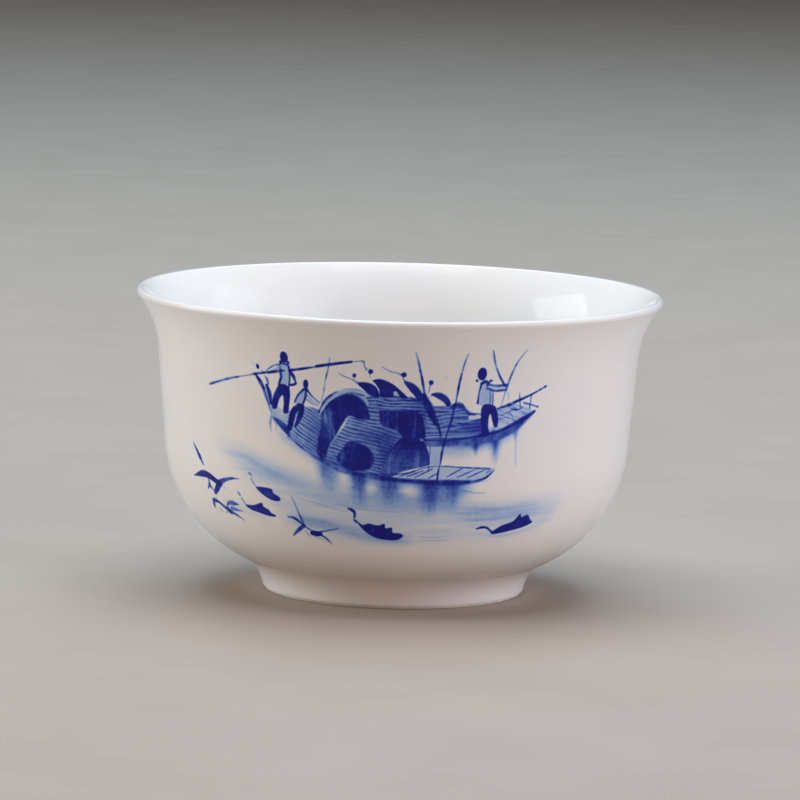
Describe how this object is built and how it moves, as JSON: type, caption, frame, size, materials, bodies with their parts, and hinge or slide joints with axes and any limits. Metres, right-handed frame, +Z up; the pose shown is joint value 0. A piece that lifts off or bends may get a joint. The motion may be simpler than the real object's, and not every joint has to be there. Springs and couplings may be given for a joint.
{
  "type": "porcelain teacup",
  "caption": "Handleless porcelain teacup with a flared lip, round belly, turned foot ring and a cobalt blue river scene painted on its front",
  "frame": {"origin": "centre of the foot ring's flat resting face, on the cup's axis", "axes": "+Z up along the cup's axis, -Y towards the painted front, +X to the viewer's right of the front"},
  "size_m": [0.08, 0.08, 0.0457],
  "materials": {
    "biscuit": "matt fired porcelain, bare on the foot's edge",
    "clear_glaze": "glossy transparent glaze over white porcelain, faintly blue where it pools",
    "cobalt_dark": "dense cobalt blue under gloss glaze",
    "cobalt_mid": "thinned cobalt blue, streaked by the brush, under gloss glaze",
    "cobalt_wash": "pale cobalt wash with soft edges under gloss glaze"
  },
  "bodies": {
    "root": {"porcelain_bowl": "biscuit", "foot_ring": "biscuit", "outer_glaze": "clear_glaze", "inner_glaze": "clear_glaze", "base_glaze": "clear_glaze", "painted_near_hull": "cobalt_dark", "painted_near_cabin": "cobalt_mid", "painted_far_hull": "cobalt_dark", "painted_far_cabin": "cobalt_mid", "painted_boatmen": "cobalt_dark", "painted_perched_birds": "cobalt_dark", "painted_swimming_birds": "cobalt_dark", "painted_terns": "cobalt_dark", "painted_poles": "cobalt_dark", "painted_wash": "cobalt_wash"}
  },
  "joints": []
}
